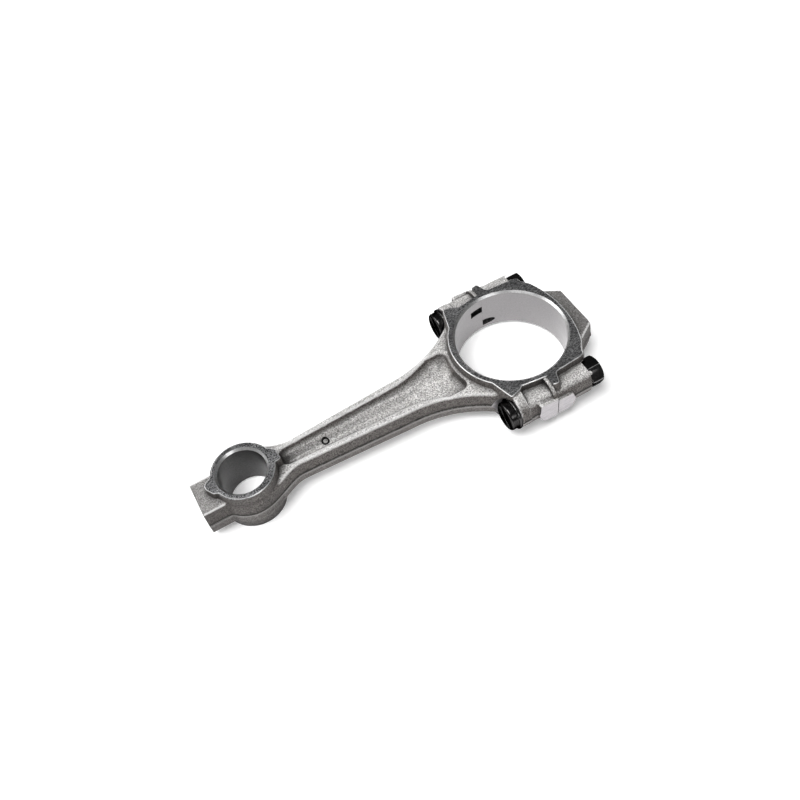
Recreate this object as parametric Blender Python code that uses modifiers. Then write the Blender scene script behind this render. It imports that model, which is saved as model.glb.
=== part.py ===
"""Forged I-beam connecting rod with a bolted cap, lying flat with its bores upright.

Lengths are in metres.  The rod lies along X with the cap end towards +X, and the
bores run along Z.  The model's origin is at the middle of its underside.
Inside the script a place is first given in rod coordinates, which start at the
middle of the crank bore, and the empty rod_centre carries them to the world.
"""

import math

import bmesh
import bpy
from mathutils import Matrix

MM = 0.001

# ---------------------------------------------------------------- bores and widths
CENTRE_DISTANCE = 155.8 * MM       # crank bore to pin bore
CRANK_BORE_RADIUS = 29.53 * MM     # bare housing, before its bearing shells go in
CRANK_CHAMFER = 1.1 * MM
BIG_END_HALF_WIDTH = 12.7 * MM
PIN_BORE_RADIUS = 12.57 * MM       # the pin is pressed in, so there is no bush
PIN_CHAMFER = 1.15 * MM
SMALL_END_HALF_WIDTH = 14.0 * MM
PARTING_GAP = 0.3 * MM             # left between the cap and the rod
FIT_GAP = 0.3 * MM                 # left between any other two pieces

# ---------------------------------------------------------------- big end
RING_WALL = 3.7 * MM               # crank bore to the outside of the ring, beam side
CAP_WALL = 3.2 * MM                # the same on the cap's crown
CAP_CROWN_RADIUS = 60 * MM
CAP_CORNER_WALL = 7.8 * MM         # crank bore to the cap's rounded corners
SHOULDER_WALL = 3.1 * MM           # crank bore to the flat wall above a boss
SHOULDER_STEP = 1.3 * MM           # by which the head lobe stands out of that wall
LOBE_STAND = 1.8 * MM              # by which the lobe's tip stands out of it
LUG_STAND = 7.2 * MM               # by which the cap's full-height lug stands out of it
LUG_LENGTH = 4.2 * MM

# ---------------------------------------------------------------- bolts, nuts and their bosses
BOLT_RADIUS = 4.76 * MM            # 3/8 inch
BOLT_WALL = 1.0 * MM               # crank bore to the bolt hole
BOLT_TIP = 0.7 * MM                # by which the thread passes the nut
HEAD_SEAT = 21.0 * MM              # parting line to the bolt head's seat
HEAD_STAND = 3.1 * MM              # bolt to the outside of its head
HEAD_HEIGHT = 5.6 * MM
HEAD_FLANGE_STAND = 4.1 * MM       # bolt to the outside of the flange under the head
HEAD_FLANGE_HEIGHT = 1.5 * MM
HEAD_FLAT_CUT = 1.5 * MM           # depth of the flat on the side of the head
HEAD_ROUND = 1.2 * MM
NUT_SEAT = 21.2 * MM               # parting line to the nut's seat
NUT_ACROSS_FLATS = 14.29 * MM      # 9/16 inch
NUT_HEIGHT = 8.2 * MM
NUT_CHAMFER = 0.9 * MM
NUT_TURN = {"left": 7, "right": 49}    # degrees, from +Y to the first corner
BOSS_WALL = 3.3 * MM               # bolt hole to the outside of its boss
BOSS_STEP = 15.5 * MM              # parting line to the collar under the head
COLLAR_BELOW_FACE = 2.5 * MM       # top of the collar under the thrust face
COLLAR_SET_IN = 1.2 * MM           # collar's centre, from the bolt towards the bore
PAD_LENGTH = 9.6 * MM              # machined pads beside the parting line
PAD_HALF_HEIGHT = 6.3 * MM
PAD_STAND = 0.5 * MM               # by which they stand out of the boss
RIB_THICKNESS = 1.7 * MM
RIB_BELOW_FACE = 2.1 * MM
SPOT_FACE_CLEARANCE = 0.7 * MM     # round the bolt heads and the nuts

# ---------------------------------------------------------------- bearing-shell notches
NOTCH_DEPTH = 1.3 * MM
NOTCH_LENGTH = 7.6 * MM
NOTCH_WIDTH = 4.4 * MM
NOTCH_OFFSET = {"rod": 3.8 * MM, "cap": -7.6 * MM}

# ---------------------------------------------------------------- beam
BEAM_BELOW_FACE = 4.7 * MM         # rails under the big end's thrust face
BEAM_HALF_NARROW = 8.7 * MM        # half width where the beam leaves the small end
BEAM_HALF_WIDE = 12.3 * MM         # half width where it starts to flare
BEAM_NARROW_FROM_BORE = 9.4 * MM   # from the pin bore's wall
BEAM_FLARE_FROM_BORE = 39.5 * MM   # from the crank bore's wall
BEAM_FLARE_RADIUS = 82.0 * MM
SMALL_FLARE_RADIUS = 14.0 * MM
RAIL_WIDTH = 3.0 * MM
WEB_HALF_THICKNESS = 2.6 * MM
POCKET_FILLET = 4.0 * MM
POCKET_CORNER = 3.0 * MM
POCKET_NOSE = 6.5 * MM
POCKET_DRAFT = 0.4 * MM
POCKET_TO_RING = 1.6 * MM

# ---------------------------------------------------------------- small end
SMALL_RING_WALL = 3.6 * MM         # pin bore to the outside of the ground ring
SMALL_BODY_WALL = 4.4 * MM         # pin bore to the outside of the forging
SMALL_BODY_BELOW_FACE = 1.6 * MM
TAB_HALF_WIDTH = 3.9 * MM
TAB_FROM_BORE = 7.0 * MM           # pin bore to the tabs' ends, on both sides
SMALL_PAD_FROM_BORE = 13.4 * MM    # pin bore to the end of the weight pad
SMALL_PAD_HALF_WIDTH = 10.9 * MM
SMALL_PAD_BELOW_FACE = 4.8 * MM

# ---------------------------------------------------------------- cap's weight pad
CAP_PAD_STAND = 7.9 * MM           # by which it stands out of the cap's crown
CAP_PAD_HALF_NARROW = 15.2 * MM
CAP_PAD_HALF_WIDE = 22.0 * MM
CAP_PAD_BELOW_FACE = 4.4 * MM

# ---------------------------------------------------------------- fineness
BORE_SEGMENTS = 96
BOSS_SEGMENTS = 40
BOLT_SEGMENTS = 40
OVERLAP = 1.0 * MM                 # by which joined shapes reach into each other

# ---------------------------------------------------------------- worked out from the values above
PIN_BORE_X = -CENTRE_DISTANCE
RING_RADIUS = CRANK_BORE_RADIUS + RING_WALL
SHOULDER_Y = CRANK_BORE_RADIUS + SHOULDER_WALL
LOBE_TIP_Y = SHOULDER_Y + LOBE_STAND
LUG_Y = SHOULDER_Y + LUG_STAND
CAP_CROWN_X = CRANK_BORE_RADIUS + CAP_WALL
CAP_PAD_REACH = CAP_CROWN_X + CAP_PAD_STAND
CAP_PAD_HALF_HEIGHT = BIG_END_HALF_WIDTH - CAP_PAD_BELOW_FACE
HOLE_RADIUS = BOLT_RADIUS + FIT_GAP
BOLT_Y = CRANK_BORE_RADIUS + BOLT_WALL + HOLE_RADIUS
BOSS_RADIUS = HOLE_RADIUS + BOSS_WALL
HEAD_RADIUS = BOLT_RADIUS + HEAD_STAND
HEAD_FLANGE = BOLT_RADIUS + HEAD_FLANGE_STAND
NUT_CORNER = NUT_ACROSS_FLATS / math.sqrt(3)
COLLAR_RADIUS = BIG_END_HALF_WIDTH - COLLAR_BELOW_FACE
RIB_RADIUS = BIG_END_HALF_WIDTH - RIB_BELOW_FACE
BEAM_HALF_HEIGHT = BIG_END_HALF_WIDTH - BEAM_BELOW_FACE
BEAM_NARROW_X = PIN_BORE_X + PIN_BORE_RADIUS + BEAM_NARROW_FROM_BORE
BEAM_FLARE_X = -CRANK_BORE_RADIUS - BEAM_FLARE_FROM_BORE
SMALL_RING_RADIUS = PIN_BORE_RADIUS + SMALL_RING_WALL
SMALL_BODY_RADIUS = PIN_BORE_RADIUS + SMALL_BODY_WALL
SMALL_BODY_HALF_HEIGHT = SMALL_END_HALF_WIDTH - SMALL_BODY_BELOW_FACE
SMALL_PAD_HALF_HEIGHT = SMALL_END_HALF_WIDTH - SMALL_PAD_BELOW_FACE
TAB_REACH = PIN_BORE_RADIUS + TAB_FROM_BORE
SMALL_PAD_REACH = PIN_BORE_RADIUS + SMALL_PAD_FROM_BORE
LENGTH_TO_TAIL = CENTRE_DISTANCE + SMALL_PAD_REACH
SIDES = {"left": 1, "right": -1}


# ================================================================ scene and helpers
def empty_scene():
    """Remove every object and make the part's and the cutters' collections."""
    for old in list(bpy.data.objects):
        bpy.data.objects.remove(old, do_unlink=True)
    scene = bpy.context.scene.collection
    made = []
    for name in ("connecting_rod", "cutters"):
        group = bpy.data.collections.new(name)
        scene.children.link(group)
        made.append(group)
    return made


PARTS, CUTTERS = empty_scene()

CENTRE = bpy.data.objects.new("rod_centre", None)
CENTRE.location = ((LENGTH_TO_TAIL - CAP_PAD_REACH) / 2, 0, max(SMALL_END_HALF_WIDTH, BIG_END_HALF_WIDTH))
PARTS.objects.link(CENTRE)


def metal(name, colour, roughness, metallic):
    """Make a plain metal finish."""
    made = bpy.data.materials.new(name)
    made.use_nodes = True
    shader = made.node_tree.nodes["Principled BSDF"]
    shader.inputs["Base Color"].default_value = (*colour, 1)
    shader.inputs["Roughness"].default_value = roughness
    shader.inputs["Metallic"].default_value = metallic
    return made


def place(name, mesh, location=(0, 0, 0), rotation=(0, 0, 0)):
    """Put a mesh among the cutters and shapes, in rod coordinates."""
    shape = bpy.data.objects.new(name, mesh)
    shape.parent = CENTRE
    shape.location = location
    shape.rotation_euler = rotation
    shape.hide_render = True
    shape.display_type = "WIRE"
    CUTTERS.objects.link(shape)
    return shape


def keep(shape, material):
    """Move a finished shape from the cutters to the part itself."""
    CUTTERS.objects.unlink(shape)
    PARTS.objects.link(shape)
    shape.hide_render = False
    shape.display_type = "TEXTURED"
    shape.data.materials.clear()
    shape.data.materials.append(material)
    shape.data.shade_smooth()
    shape.data.set_sharp_from_angle(angle=math.radians(30))
    return shape


def combine(target, operation, tools, solver="EXACT"):
    """Give the target one Boolean modifier for each tool."""
    for tool in tools:
        step = target.modifiers.new(f"{operation.lower()}_{tool.name}", "BOOLEAN")
        step.operation = operation
        step.solver = solver
        step.object = tool


def box(name, low, high):
    """Make a box from its lowest and highest corners."""
    shape = bmesh.new()
    bmesh.ops.create_cube(shape, size=1)
    size = [high[i] - low[i] for i in range(3)]
    middle = [(high[i] + low[i]) / 2 for i in range(3)]
    bmesh.ops.scale(shape, vec=size, verts=shape.verts)
    mesh = bpy.data.meshes.new(name)
    shape.to_mesh(mesh)
    shape.free()
    return place(name, mesh, location=middle)


def cylinder(name, radius, start, end, offset, along="X", segments=BOSS_SEGMENTS):
    """Make a cylinder along X, offset along Y, or one along Z, offset along X."""
    shape = bmesh.new()
    bmesh.ops.create_cone(shape, cap_ends=True, segments=segments, radius1=radius, radius2=radius,
                          depth=end - start)
    mesh = bpy.data.meshes.new(name)
    shape.to_mesh(mesh)
    shape.free()
    if along == "X":
        return place(name, mesh, location=((start + end) / 2, offset, 0), rotation=(0, math.pi / 2, 0))
    return place(name, mesh, location=(offset, 0, (start + end) / 2))


def turned(name, profile, location, along="Z", segments=BORE_SEGMENTS):
    """Turn a profile of (radius, height) points, listed from the top down, about its axis."""
    mesh = bpy.data.meshes.new(name)
    points = [(radius, 0, height) for radius, height in profile]
    mesh.from_pydata(points, [(i, i + 1) for i in range(len(points) - 1)], [])
    rotation = (0, math.pi / 2, 0) if along == "X" else (0, 0, 0)
    shape = place(name, mesh, location, rotation)
    turn = shape.modifiers.new("turn", "SCREW")
    turn.steps = segments
    turn.render_steps = segments
    turn.use_merge_vertices = True
    turn.merge_threshold = 0.00001
    return shape


def slab(name, outline, low, high):
    """Thicken a flat outline from one height to another."""
    curve = bpy.data.curves.new(name, "CURVE")
    curve.dimensions = "2D"
    curve.fill_mode = "BOTH"
    curve.extrude = (high - low) / 2
    line = curve.splines.new("POLY")
    line.points.add(len(outline) - 1)
    for point, (x, y) in zip(line.points, outline):
        point.co = (x, y, 0, 1)
    line.use_cyclic_u = True
    flat = bpy.data.objects.new(name + "_curve", curve)
    CUTTERS.objects.link(flat)
    view = bpy.context.evaluated_depsgraph_get()
    mesh = bpy.data.meshes.new_from_object(flat.evaluated_get(view))
    bpy.data.objects.remove(flat)
    shape = bmesh.new()
    shape.from_mesh(mesh)
    bmesh.ops.remove_doubles(shape, verts=shape.verts, dist=0.000001)
    bmesh.ops.recalc_face_normals(shape, faces=shape.faces)
    shape.to_mesh(mesh)
    shape.free()
    return place(name, mesh, location=(0, 0, (low + high) / 2))


def loft(name, sections):
    """Join outlines of equal length, each a list of points, into one closed solid."""
    shape = bmesh.new()
    rings = [[shape.verts.new(point) for point in section] for section in sections]
    for lower, upper in zip(rings, rings[1:]):
        for i in range(len(lower)):
            j = (i + 1) % len(lower)
            shape.faces.new((lower[i], lower[j], upper[j], upper[i]))
    shape.faces.new(rings[0])
    shape.faces.new(rings[-1])
    bmesh.ops.recalc_face_normals(shape, faces=shape.faces)
    mesh = bpy.data.meshes.new(name)
    shape.to_mesh(mesh)
    shape.free()
    return place(name, mesh)


def arc(x, y, radius, start, end, steps):
    """Points on a circle, from one angle to another in degrees."""
    angles = [math.radians(start + (end - start) * i / steps) for i in range(steps + 1)]
    return [(x + radius * math.cos(a), y + radius * math.sin(a)) for a in angles]


def mirrored(half):
    """Complete an outline from its half at negative y, which runs from one end to the other."""
    other = [(x, -y) for x, y in reversed(half) if y < -0.000001]
    return half + other


# ================================================================ outlines
def beam_half_width(x):
    """Half width of the beam: a straight taper that flares on an arc at either end."""
    start = BEAM_NARROW_X
    finish = BEAM_FLARE_X
    slope = (BEAM_HALF_WIDE - BEAM_HALF_NARROW) / (finish - start)
    straight = BEAM_HALF_NARROW + slope * (x - start)
    if x > finish:
        run = min(x - finish, 0.9 * BEAM_FLARE_RADIUS)
        return straight + BEAM_FLARE_RADIUS - math.sqrt(BEAM_FLARE_RADIUS ** 2 - run ** 2)
    if x < start:
        run = min(start - x, 0.9 * SMALL_FLARE_RADIUS)
        return straight + SMALL_FLARE_RADIUS - math.sqrt(SMALL_FLARE_RADIUS ** 2 - run ** 2)
    return straight


def stations(start, end, count):
    """Evenly spaced places from start to end."""
    return [start + (end - start) * i / count for i in range(count + 1)]


def beam_outline():
    """Both sides of the beam, from inside the small end to behind the bolt bosses."""
    first = PIN_BORE_X + SMALL_BODY_RADIUS - 2 * OVERLAP
    last = -HEAD_SEAT + OVERLAP
    half = [(x, -beam_half_width(x)) for x in stations(first, last, 36)]
    return half + [(x, -y) for x, y in reversed(half)]


def pocket_outline(inset):
    """Pocket edge, moved in by the inset: one rail from the beam's sides, and round the ring."""
    nose = PIN_BORE_X + TAB_REACH + inset
    turn = RING_RADIUS + POCKET_TO_RING + inset

    def side(x):
        return -(beam_half_width(x) - RAIL_WIDTH - inset)

    corner_x = -turn
    for _ in range(30):
        corner_x = -math.sqrt(turn ** 2 - min(side(corner_x) ** 2, turn ** 2 / 2))
    corner = (corner_x, side(corner_x))
    before = (corner_x - POCKET_CORNER, side(corner_x - POCKET_CORNER))
    angle = 180 + math.degrees(math.atan2(-corner[1], -corner[0]) - POCKET_CORNER / turn)
    crown = arc(0, 0, turn, angle, 180, 8)
    after = crown[0]
    bend = [tuple((1 - t) ** 2 * before[i] + 2 * t * (1 - t) * corner[i] + t ** 2 * after[i] for i in (0, 1))
            for t in (0, 0.25, 0.5, 0.75)]
    length = POCKET_NOSE - inset
    start_y = side(nose + length)
    tip = [(nose + length * (1 - math.cos(math.radians(a))), start_y * math.sin(math.radians(a)))
           for a in (0, 18, 36, 54, 72)]
    sides = [(x, side(x)) for x in stations(nose + length, before[0], 20)[:-1]]
    return mirrored(tip + sides + bend + crown)


def pocket_levels():
    """Insets and heights of the pocket's wall, from above the rail down its fillet to the web."""
    levels = [(-POCKET_DRAFT, BEAM_HALF_HEIGHT + OVERLAP)]
    for a in (0, 20, 40, 60, 80, 90):
        sweep = math.radians(a)
        inset = POCKET_FILLET * (1 - math.cos(sweep))
        levels.append((inset, WEB_HALF_THICKNESS + POCKET_FILLET * (1 - math.sin(sweep))))
    return levels


def ring_outline():
    """Thrust face on the beam side: shoulder, lobe behind the bolt head's seat, and ring."""
    foot = -HEAD_SEAT + LOBE_STAND
    lobe = [(0, -SHOULDER_Y), (-BOSS_STEP + LOBE_STAND, -SHOULDER_Y + SHOULDER_STEP / 2),
            (-BOSS_STEP, -SHOULDER_Y - SHOULDER_STEP / 2), (foot, -LOBE_TIP_Y + SHOULDER_STEP / 4),
            (-HEAD_SEAT, -LOBE_TIP_Y), (-HEAD_SEAT - SHOULDER_STEP / 2, -LOBE_TIP_Y + SHOULDER_STEP / 2)]
    return mirrored(lobe + arc(0, 0, RING_RADIUS, 221, 180, 16))


def cap_outline():
    """Thrust face on the cap side: lug, shoulder, rounded corner and shallow crown."""
    lug = [(0, -LUG_Y), (0.7 * LUG_LENGTH, -LUG_Y), (LUG_LENGTH, -LUG_Y + SHOULDER_STEP),
           (1.3 * LUG_LENGTH, -SHOULDER_Y - SHOULDER_STEP), (1.5 * LUG_LENGTH, -SHOULDER_Y)]
    shoulder = [(NUT_SEAT, -SHOULDER_Y + SHOULDER_STEP / 2)]
    corner = arc(0, 0, CRANK_BORE_RADIUS + CAP_CORNER_WALL, -49, -42, 2)
    middle = CAP_CROWN_X - CAP_CROWN_RADIUS
    crown_end = math.degrees(math.asin((CRANK_BORE_RADIUS - CAP_CORNER_WALL) / CAP_CROWN_RADIUS))
    return mirrored(lug + shoulder + corner + arc(middle, 0, CAP_CROWN_RADIUS, -crown_end, 0, 10))


def through_profile(radius, chamfer, half_width):
    """Cutter for a bore that opens at both faces through a 45 degree chamfer."""
    flare = radius + chamfer + OVERLAP
    top = half_width + OVERLAP
    return [(0, top), (flare, top), (radius, half_width - chamfer), (radius, chamfer - half_width),
            (flare, -top), (0, -top)]


# ================================================================ shared shapes
def crank_bore(name):
    """Cutter for the crank bore."""
    return turned(name, through_profile(CRANK_BORE_RADIUS, CRANK_CHAMFER, BIG_END_HALF_WIDTH), (0, 0, 0))


def bolt_hole(side, piece):
    """Cutter for a bolt hole, right through the rod or the cap."""
    reach = NUT_SEAT + HEAD_SEAT
    return cylinder(f"{piece}_hole_{side}", HOLE_RADIUS, -reach, reach, SIDES[side] * BOLT_Y,
                    segments=BOLT_SEGMENTS)


def notch(piece):
    """Cutter for the notch that a bearing shell's tang sits in."""
    low_x, high_x = (-NOTCH_LENGTH, OVERLAP) if piece == "rod" else (-OVERLAP, NOTCH_LENGTH)
    middle = NOTCH_OFFSET[piece]
    return box(f"{piece}_notch", (low_x, CRANK_BORE_RADIUS - 5 * NOTCH_DEPTH, middle - NOTCH_WIDTH / 2),
               (high_x, CRANK_BORE_RADIUS + NOTCH_DEPTH, middle + NOTCH_WIDTH / 2))


def boss(name, sign, start, end):
    """A boss along X round a bolt, with the web that joins it to the ring."""
    round_part = cylinder(name + "_boss", BOSS_RADIUS, start, end, sign * BOLT_Y)
    inner, outer = sorted((sign * (CRANK_BORE_RADIUS - 3 * OVERLAP), sign * BOLT_Y))
    web = box(name + "_web", (start, inner, -BOSS_RADIUS), (end, outer, BOSS_RADIUS))
    return [round_part, web]


def side_pad(name, sign, start, end):
    """The machined pad beside the parting line."""
    face = sign * (BOLT_Y + BOSS_RADIUS + PAD_STAND)
    low, high = sorted((sign * BOLT_Y, face))
    return box(name + "_pad", (start, low, -PAD_HALF_HEIGHT), (end, high, PAD_HALF_HEIGHT))


def half_space(name, low_x, high_x):
    """Cutter for everything on one side of the parting line."""
    far, high = 2 * BOLT_Y, 2 * BIG_END_HALF_WIDTH
    return box(name, (low_x, -far, -high), (high_x, far, high))


# ================================================================ pieces
def make_rod():
    """Beam, small end and the beam side of the big end, forged as one piece."""
    edge = -PARTING_GAP / 2
    rod = slab("rod_body", ring_outline(), -BIG_END_HALF_WIDTH, BIG_END_HALF_WIDTH)
    beam = slab("beam", beam_outline(), -BEAM_HALF_HEIGHT, BEAM_HALF_HEIGHT)
    body = cylinder("small_body", SMALL_BODY_RADIUS, -SMALL_BODY_HALF_HEIGHT, SMALL_BODY_HALF_HEIGHT,
                    PIN_BORE_X, along="Z", segments=BORE_SEGMENTS)
    ring = cylinder("small_ring", SMALL_RING_RADIUS, -SMALL_END_HALF_WIDTH, SMALL_END_HALF_WIDTH,
                    PIN_BORE_X, along="Z", segments=BORE_SEGMENTS)
    tabs = box("small_tabs", (PIN_BORE_X - TAB_REACH, -TAB_HALF_WIDTH, -SMALL_END_HALF_WIDTH),
               (PIN_BORE_X + TAB_REACH, TAB_HALF_WIDTH, SMALL_END_HALF_WIDTH))
    tail = box("small_pad", (PIN_BORE_X - SMALL_PAD_REACH, -SMALL_PAD_HALF_WIDTH, -SMALL_PAD_HALF_HEIGHT),
               (PIN_BORE_X, SMALL_PAD_HALF_WIDTH, SMALL_PAD_HALF_HEIGHT))
    joined = [beam, body, ring, tabs, tail]
    cut = []
    for side, sign in SIDES.items():
        name = f"rod_{side}"
        joined += boss(name, sign, -HEAD_SEAT + OVERLAP, OVERLAP)
        joined.append(side_pad(name, sign, -PAD_LENGTH, OVERLAP))
        joined.append(cylinder(name + "_collar", COLLAR_RADIUS, -HEAD_SEAT, -BOSS_STEP,
                               sign * (BOLT_Y - COLLAR_SET_IN)))
        joined.append(cylinder(name + "_rib", RIB_RADIUS, -RIB_THICKNESS, OVERLAP,
                               sign * (BOLT_Y - 2 * COLLAR_SET_IN)))
        cut.append(bolt_hole(side, "rod"))
        cut.append(cylinder(name + "_spot_face", HEAD_FLANGE + SPOT_FACE_CLEARANCE, -2 * HEAD_SEAT,
                            -HEAD_SEAT, sign * BOLT_Y))
    for name, sign in (("upper_pocket", 1), ("lower_pocket", -1)):
        levels = [(pocket_outline(inset), sign * height) for inset, height in pocket_levels()]
        cut.append(loft(name, [[(x, y, height) for x, y in outline] for outline, height in levels]))
    pin_bore = turned("pin_bore", through_profile(PIN_BORE_RADIUS, PIN_CHAMFER, SMALL_END_HALF_WIDTH),
                      (PIN_BORE_X, 0, 0))
    beyond = half_space("cap_side", edge, 2 * BOLT_Y)
    combine(rod, "UNION", joined)
    # EXACT leaves open edges at the seats and pockets for some bore sizes, so MANIFOLD cuts the rod.
    combine(rod, "DIFFERENCE", cut + [pin_bore, crank_bore("rod_crank_bore"), notch("rod"), beyond],
            solver="MANIFOLD")
    return keep(rod, FORGED)


def make_cap():
    """Cap that closes the big end round the crank pin."""
    edge = PARTING_GAP / 2
    cap = slab("rod_cap", cap_outline(), -BIG_END_HALF_WIDTH, BIG_END_HALF_WIDTH)
    root = CAP_CROWN_X - 3 * OVERLAP
    pad = [(root, -CAP_PAD_HALF_WIDE), (CAP_CROWN_X - 2 * OVERLAP, -CAP_PAD_HALF_WIDE),
           (CAP_PAD_REACH, -CAP_PAD_HALF_NARROW)]
    joined = [slab("cap_pad", mirrored(pad), -CAP_PAD_HALF_HEIGHT, CAP_PAD_HALF_HEIGHT)]
    cut = []
    for side, sign in SIDES.items():
        name = f"cap_{side}"
        joined += boss(name, sign, -OVERLAP, NUT_SEAT)
        joined.append(side_pad(name, sign, -OVERLAP, PAD_LENGTH))
        cut.append(bolt_hole(side, "cap"))
        cut.append(cylinder(name + "_spot_face", NUT_CORNER + SPOT_FACE_CLEARANCE, NUT_SEAT, 2 * NUT_SEAT,
                              sign * BOLT_Y))
    beyond = half_space("rod_side", -2 * BOLT_Y, edge)
    combine(cap, "UNION", joined)
    combine(cap, "DIFFERENCE", cut + [crank_bore("cap_crank_bore"), notch("cap"), beyond])
    return keep(cap, FORGED)


def make_bolt(side):
    """Bolt with a round head that one flat stops from turning; it stays in the rod."""
    seat = -HEAD_SEAT - FIT_GAP
    flange = seat - HEAD_FLANGE_HEIGHT
    end = seat - HEAD_HEIGHT
    tip = NUT_SEAT + FIT_GAP + NUT_HEIGHT + BOLT_TIP
    profile = [(0, tip), (BOLT_RADIUS - NUT_CHAMFER, tip), (BOLT_RADIUS, tip - NUT_CHAMFER),
               (BOLT_RADIUS, seat), (HEAD_FLANGE, seat), (HEAD_FLANGE, flange), (HEAD_RADIUS, flange),
               (HEAD_RADIUS, end + HEAD_ROUND), (HEAD_RADIUS - HEAD_ROUND, end), (0, end)]
    sign = SIDES[side]
    bolt = turned(f"bolt_{side}", profile, (0, sign * BOLT_Y, 0), along="X", segments=BOLT_SEGMENTS)
    low, high = sorted((sign * (BOLT_Y - HEAD_RADIUS + HEAD_FLAT_CUT), sign * (BOLT_Y - 2 * HEAD_RADIUS)))
    flat = box(f"head_flat_{side}", (end - OVERLAP, low, -2 * HEAD_RADIUS),
               (-HEAD_SEAT, high, 2 * HEAD_RADIUS))
    combine(bolt, "DIFFERENCE", [flat])
    return keep(bolt, BLACK_OXIDE)


def make_nut(side):
    """Hexagon nut with its corners rounded off at both ends."""
    half = NUT_HEIGHT / 2
    middle = (NUT_SEAT + FIT_GAP + half, SIDES[side] * BOLT_Y, 0)
    shape = bmesh.new()
    bmesh.ops.create_cone(shape, cap_ends=True, segments=6, radius1=NUT_CORNER, radius2=NUT_CORNER,
                          depth=NUT_HEIGHT)
    bmesh.ops.rotate(shape, verts=shape.verts, matrix=Matrix.Rotation(math.radians(NUT_TURN[side]), 3, "Z"))
    mesh = bpy.data.meshes.new(f"nut_{side}")
    shape.to_mesh(mesh)
    shape.free()
    nut = place(f"nut_{side}", mesh, middle, (0, math.pi / 2, 0))
    wide = NUT_CORNER + OVERLAP
    envelope = [(0, half + OVERLAP), (wide - 2 * (OVERLAP + NUT_CHAMFER), half + OVERLAP),
                (wide, half - NUT_CHAMFER), (wide, NUT_CHAMFER / 2 - half),
                (NUT_CORNER - NUT_CHAMFER, -half - OVERLAP / 4), (0, -half - OVERLAP / 4)]
    round_off = turned(f"nut_round_{side}", envelope, middle, along="X", segments=BOLT_SEGMENTS)
    bore = turned(f"nut_bore_{side}", through_profile(HOLE_RADIUS, NUT_CHAMFER / 2, half), middle,
                  along="X", segments=BOLT_SEGMENTS)
    combine(nut, "INTERSECT", [round_off])
    combine(nut, "DIFFERENCE", [bore])
    return keep(nut, BLACK_OXIDE)


FORGED = metal("forged_steel", (0.34, 0.33, 0.32), 0.42, 1.0)
BLACK_OXIDE = metal("black_oxide", (0.03, 0.03, 0.03), 0.35, 0.8)

make_rod()
make_cap()
for bolt_side in SIDES:
    make_bolt(bolt_side)
    make_nut(bolt_side)
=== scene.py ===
# %% [markdown]
# # A forged connecting rod, made the way the factory makes it
#
# The real part starts as two forgings, a rod and a cap: rough grey skins that flow through
# fillets, lean by a draft angle so that they leave the die, and carry a thin flash line where
# the dies met. Then machines grind the end faces, bore the two holes and mill the joint.
# This lesson does the same in Blender: first the forged skins, then the cuts, then the bolts
# and nuts, and last the steel finishes, the light and the camera.

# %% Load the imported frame
import math
import bpy
import numpy as np
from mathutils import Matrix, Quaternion, Vector


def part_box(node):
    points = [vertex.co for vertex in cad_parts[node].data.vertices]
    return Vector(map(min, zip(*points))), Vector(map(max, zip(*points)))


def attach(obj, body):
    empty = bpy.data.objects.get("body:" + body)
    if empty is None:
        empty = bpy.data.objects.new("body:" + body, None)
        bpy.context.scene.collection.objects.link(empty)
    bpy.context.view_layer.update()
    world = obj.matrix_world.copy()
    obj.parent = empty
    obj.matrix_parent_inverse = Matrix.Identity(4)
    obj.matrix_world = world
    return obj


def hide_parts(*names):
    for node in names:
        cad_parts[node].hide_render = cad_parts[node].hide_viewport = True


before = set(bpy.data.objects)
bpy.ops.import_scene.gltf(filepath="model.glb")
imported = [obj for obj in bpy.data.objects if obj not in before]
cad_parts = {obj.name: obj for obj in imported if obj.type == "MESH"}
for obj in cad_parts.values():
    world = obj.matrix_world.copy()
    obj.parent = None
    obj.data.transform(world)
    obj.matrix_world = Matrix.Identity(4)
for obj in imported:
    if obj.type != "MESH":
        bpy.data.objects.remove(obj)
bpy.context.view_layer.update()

# %% [markdown]
# ## Where things are
#
# All shapes below are written in millimetres from the middle of the crank bore, with x along
# the rod towards the cap, y across it and z up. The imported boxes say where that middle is:
# the cap's weight pad ends a known reach past it, and a nut is centred on its bolt's line.
# A blank is the height of a forging before it is ground down to its face.

# %% Places read from the frame
MM = 0.001
CAP_PAD_REACH = 40.63
cap_low, cap_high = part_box("rod_cap")
nut_low, nut_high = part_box("nut_left")
CRANK = np.array([cap_high.x / MM - CAP_PAD_REACH, 0.0, (cap_low.z + cap_high.z) / 2 / MM])
BOLT_Y = (nut_low.y + nut_high.y) / 2 / MM
TAIL_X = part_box("rod_body")[0].x / MM - CRANK[0]
print("crank bore centre", CRANK, "bolt line", BOLT_Y, "tail", TAIL_X)

# %% The rod's driving sizes
PIN_X = -155.8
PIN_RADIUS = 12.57
CRANK_RADIUS = 29.53
BIG_FACE = 12.7
SMALL_FACE = 14.0
FACE_EDGE = 0.38
HALF_GAP = 0.02
BEAM_TOP = 8.0
BOSS_TOP = 8.4
BOSS_WALL = 43.5
WEB_HALF = 2.6
TAIL_TOP = 9.2
SEAT_HEAD = -21.0
SEAT_NUT = 21.2
FLAT_Y = 44.45
DRUM_RADIUS = 17.1
BIG_BLANK = 14.2
SMALL_BLANK = 15.5
PAD_BLANK = 46
PAD_DRAFT = 0.14
PAD_ROOT = 36
DRAFT = math.tan(math.radians(7))
SMALL_DRAFT = math.tan(math.radians(3.6))

# %% [markdown]
# ## A forging as a field
#
# Lofts joined by booleans meet in hard creases, and Bevel can't follow where they cross, but a
# forging has a fillet at every join. So the skin is described the other way round: a field
# gives each point of space its distance to the steel, less than zero inside. Two fields join
# with a round fillet or meet with a rounded edge by a short formula, worked out for the whole
# block of space at once. The skin is then the surface where the field is zero.

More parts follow.
